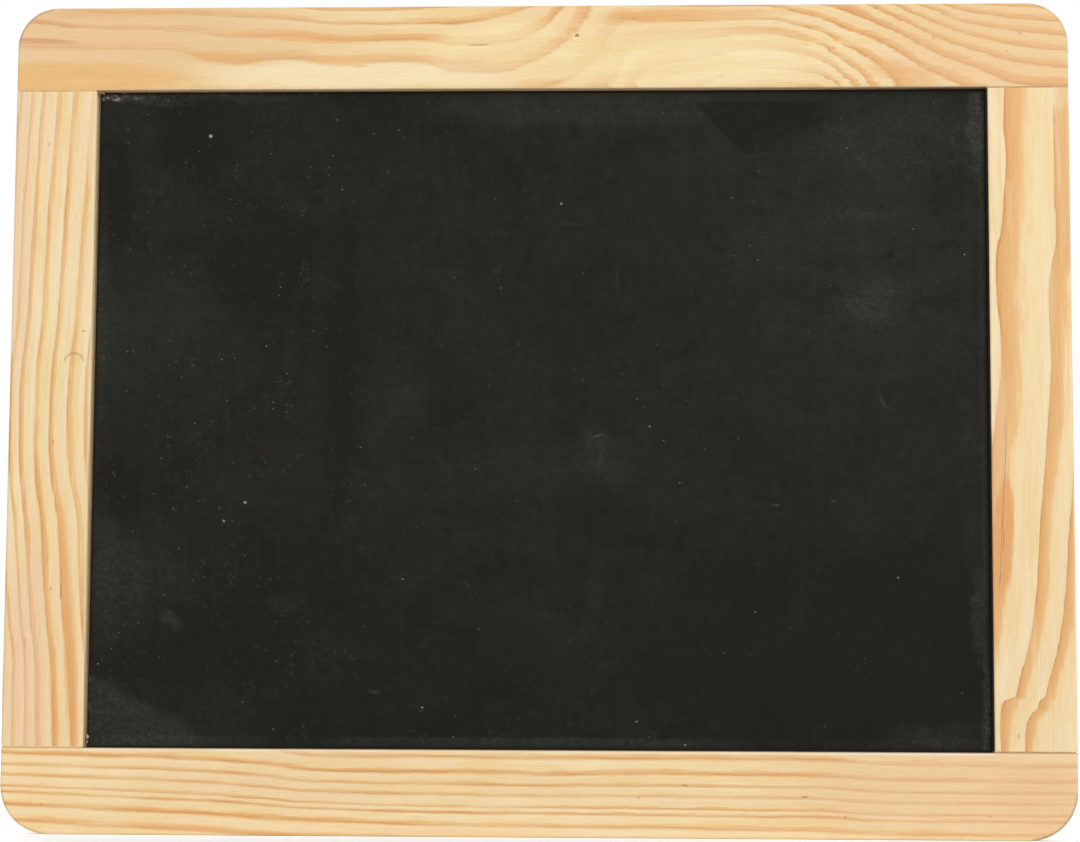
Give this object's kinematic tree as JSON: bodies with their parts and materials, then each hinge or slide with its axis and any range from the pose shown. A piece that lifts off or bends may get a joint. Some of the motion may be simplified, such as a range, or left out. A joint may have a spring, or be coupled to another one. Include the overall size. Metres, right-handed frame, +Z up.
{
  "type": "wall chalkboard",
  "caption": "Small framed chalkboard: black writing panel grooved into a pale pine frame with rounded corners, hung on swinging D-rings.",
  "frame": {"origin": "on the plane of the frame's back, midway between the pivots of the two hanger rings", "axes": "+Z up, +X to the right as one faces the board, +Y from the board into the wall; the writing side faces -Y"},
  "size_m": [0.24, 0.0144, 0.1885],
  "materials": {
    "pine": "sanded bare pine",
    "chalkboard": "matt black chalkboard paint on fibreboard",
    "strap_steel": "satin nickel plate",
    "ring_steel": "bright nickel plate",
    "screw_steel": "zinc plate"
  },
  "bodies": {
    "board": {"top_rail": "pine", "bottom_rail": "pine", "left_stile": "pine", "right_stile": "pine", "chalkboard_panel": "chalkboard", "hanger_strap_left": "strap_steel", "hanger_strap_right": "strap_steel", "hanger_screw_left": "screw_steel", "hanger_screw_right": "screw_steel"},
    "ring_left": {"hanger_ring_left": "ring_steel"},
    "ring_right": {"hanger_ring_right": "ring_steel"}
  },
  "joints": [
    {"name": "ring_left_swing", "type": "hinge", "parent": "board", "child": "ring_left", "pos_m": [-0.07, 0.0021, 0], "axis": [1, 0, 0], "range_deg": [0, 162]},
    {"name": "ring_right_swing", "type": "hinge", "parent": "board", "child": "ring_right", "pos_m": [0.07, 0.0021, 0], "axis": [1, 0, 0], "range_deg": [0, 162]}
  ]
}
